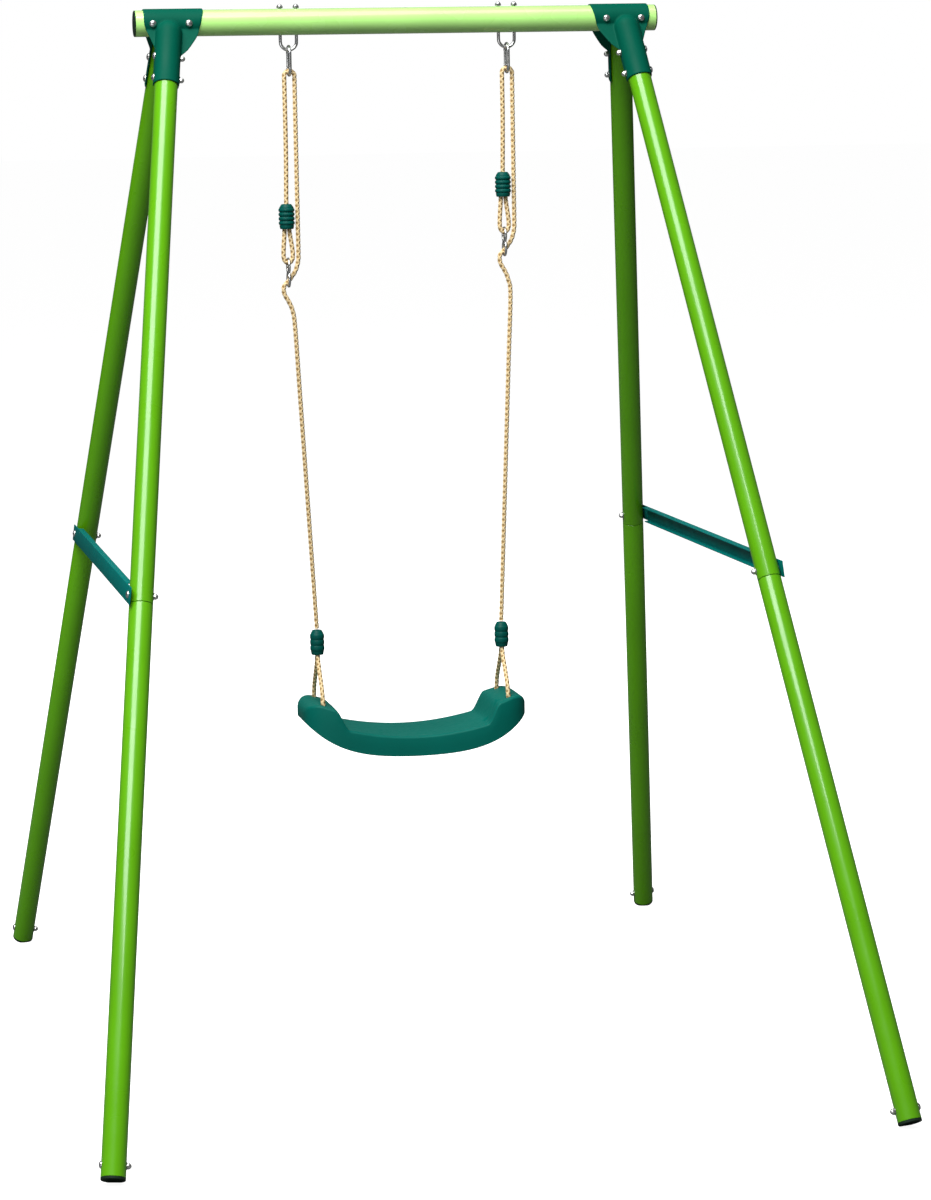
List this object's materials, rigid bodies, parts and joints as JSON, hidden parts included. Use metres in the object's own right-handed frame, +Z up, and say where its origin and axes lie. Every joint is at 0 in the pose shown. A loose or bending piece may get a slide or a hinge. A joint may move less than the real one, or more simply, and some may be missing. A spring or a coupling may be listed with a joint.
{
  "type": "swing set",
  "caption": "Free-standing single swing: A-frame of round tube with corner brackets and side braces, moulded seat on two height-adjustable ropes.",
  "frame": {"origin": "on the ground under the middle of the beam", "axes": "+Z up, +X along the beam to the sitter's left, the sitter faces -Y (towards the front)"},
  "size_m": [1.4026, 1.9258, 1.9328],
  "materials": {
    "beam_paint": "gloss light green powder coat",
    "leg_paint": "gloss lime green powder coat",
    "bracket_paint": "satin dark green powder coat",
    "brace_paint": "satin dark teal powder coat",
    "black_plastic": "matte",
    "zinc": "bright zinc plate",
    "barrel_plastic": "semi-matte moulded",
    "seat_plastic": "satin moulded",
    "rope": "braided polypropylene"
  },
  "bodies": {
    "frame": {"beam": "beam_paint", "beam_end_cap_left": "black_plastic", "beam_end_cap_right": "black_plastic", "bracket_left_front": "bracket_paint", "bracket_left_rear": "bracket_paint", "bracket_right_front": "bracket_paint", "bracket_right_rear": "bracket_paint", "upper_leg_left_front": "leg_paint", "upper_leg_left_rear": "leg_paint", "upper_leg_right_front": "leg_paint", "upper_leg_right_rear": "leg_paint", "lower_leg_left_front": "leg_paint", "lower_leg_left_rear": "leg_paint", "lower_leg_right_front": "leg_paint", "lower_leg_right_rear": "leg_paint", "foot_plug_left_front": "black_plastic", "foot_plug_left_rear": "black_plastic", "foot_plug_right_front": "black_plastic", "foot_plug_right_rear": "black_plastic", "brace_left": "brace_paint", "brace_right": "brace_paint", "beam_bolt_left_inner": "zinc", "beam_bolt_left_outer": "zinc", "beam_bolt_right_inner": "zinc", "beam_bolt_right_outer": "zinc", "bracket_bolt_left_front_upper": "zinc", "bracket_bolt_left_front_lower": "zinc", "bracket_bolt_left_rear_upper": "zinc", "bracket_bolt_left_rear_lower": "zinc", "bracket_bolt_right_front_upper": "zinc", "bracket_bolt_right_front_lower": "zinc", "bracket_bolt_right_rear_upper": "zinc", "bracket_bolt_right_rear_lower": "zinc", "brace_bolt_left_front": "zinc", "brace_bolt_left_rear": "zinc", "brace_bolt_right_front": "zinc", "brace_bolt_right_rear": "zinc", "foot_bolt_left_front": "zinc", "foot_bolt_left_rear": "zinc", "foot_bolt_right_front": "zinc", "foot_bolt_right_rear": "zinc", "u_bolt_left": "zinc", "u_bolt_right": "zinc"},
    "snap_hook_left": {"snap_hook_left": "zinc"},
    "snap_hook_right": {"snap_hook_right": "zinc"},
    "gate_left": {"gate_left": "zinc"},
    "gate_right": {"gate_right": "zinc"},
    "ropes": {"rope_left": "rope", "rope_right": "rope", "adjuster_left": "zinc", "adjuster_right": "zinc", "upper_barrel_left": "barrel_plastic", "upper_barrel_right": "barrel_plastic"},
    "seat": {"seat": "seat_plastic", "lower_barrel_left": "barrel_plastic", "lower_barrel_right": "barrel_plastic", "seat_rope_left": "rope", "seat_rope_right": "rope"}
  },
  "joints": [
    {"name": "swing", "type": "hinge", "parent": "frame", "child": "snap_hook_left", "pos_m": [-0.205, 0, 1.849], "axis": [1, 0, 0], "range_deg": [-60, 60]},
    {"name": "swing_right_hook", "type": "hinge", "parent": "frame", "child": "snap_hook_right", "pos_m": [0.205, 0, 1.849], "axis": [1, 0, 0], "range_deg": [-60, 60]},
    {"name": "rope_tilt", "type": "hinge", "parent": "snap_hook_left", "child": "ropes", "pos_m": [-0.205, 0, 1.8109], "axis": [1, 0, 0], "range_deg": [-15, 15]},
    {"name": "seat_tilt", "type": "hinge", "parent": "ropes", "child": "seat", "pos_m": [0, 0, 0.7722], "axis": [1, 0, 0], "range_deg": [-20, 20]},
    {"name": "gate_left_hinge", "type": "hinge", "parent": "snap_hook_left", "child": "gate_left", "pos_m": [-0.205, 0.014, 1.819], "axis": [1, 0, 0], "range_deg": [0, 25], "stiffness_Nm_per_rad": 0.02, "springref_deg": -17.19},
    {"name": "gate_right_hinge", "type": "hinge", "parent": "snap_hook_right", "child": "gate_right", "pos_m": [0.205, 0.014, 1.819], "axis": [1, 0, 0], "range_deg": [0, 25], "stiffness_Nm_per_rad": 0.02, "springref_deg": -17.19}
  ],
  "couplings": [
    {"joint": "swing_right_hook", "follows": "swing", "ratio": 1}
  ]
}
